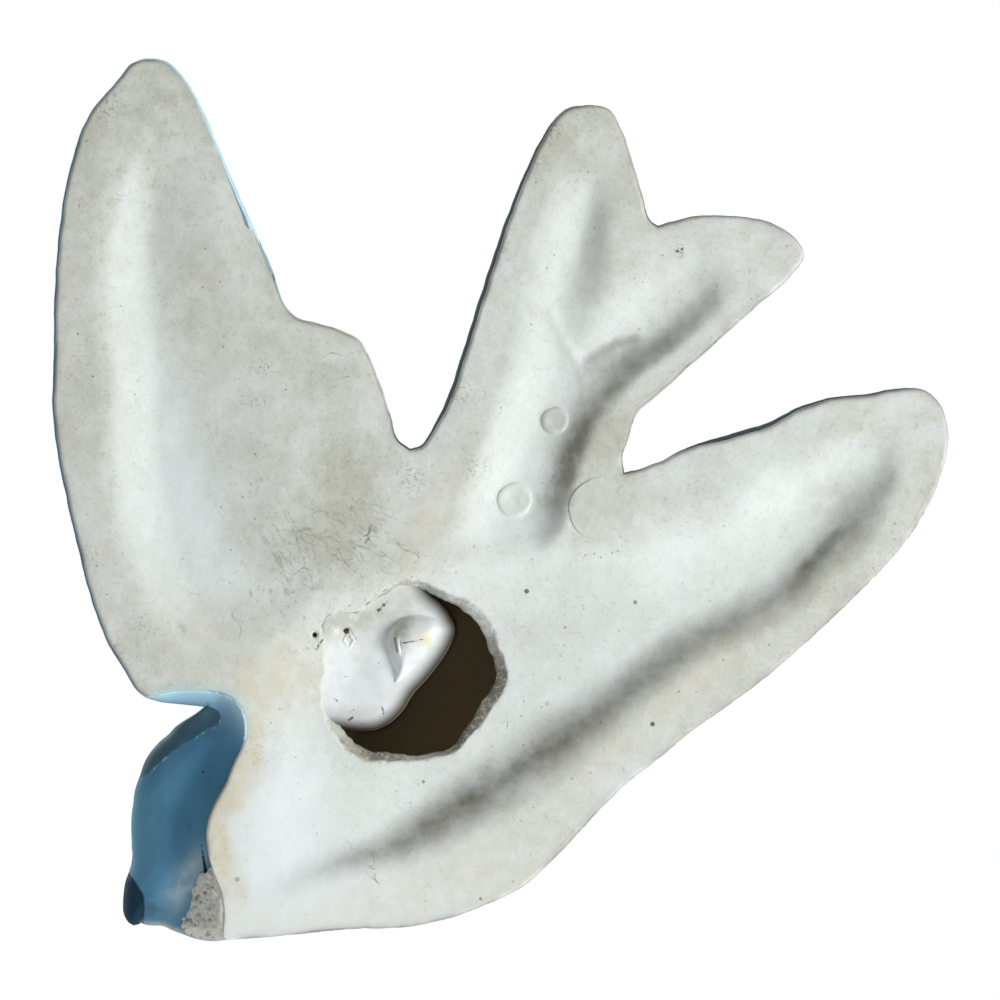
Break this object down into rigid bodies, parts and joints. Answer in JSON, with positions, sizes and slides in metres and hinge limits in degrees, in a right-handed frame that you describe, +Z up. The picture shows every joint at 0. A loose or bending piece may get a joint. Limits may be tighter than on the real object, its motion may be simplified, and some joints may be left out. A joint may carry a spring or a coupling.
{
  "type": "bird wall plaque",
  "caption": "Hollow cast plaster flying bird with a forked tail: painted face, raw dished back with a ragged hanging hole, made to hang flat on a wall.",
  "frame": {"origin": "middle of the ragged hanging hole, on the plane of the wall that the raw back lies against", "axes": "+X to the right and +Z up as the raw back is seen, +Y from the wall to the painted face"},
  "size_m": [0.2562, 0.0524, 0.252],
  "materials": {
    "painted_plaster": "airbrushed satin paint in blues over cast plaster, chipped at the edges",
    "raw_plaster": "bare cast plaster, matt, dirty and scratched on the high places",
    "lute_plaster": "thin bed of plaster, matt",
    "plug_plaster": "smoothed plaster, matt",
    "coarse_plaster": "coarse grey plaster, pitted",
    "wire": "rusted iron wire"
  },
  "bodies": {
    "root": {"front_casting": "painted_plaster", "back_casting": "raw_plaster", "seam_lute": "lute_plaster", "tail_plug_lower": "plug_plaster", "tail_plug_upper": "plug_plaster", "root_patch": "plug_plaster", "hanger_wire": "wire", "throat_fill": "coarse_plaster"}
  },
  "joints": []
}
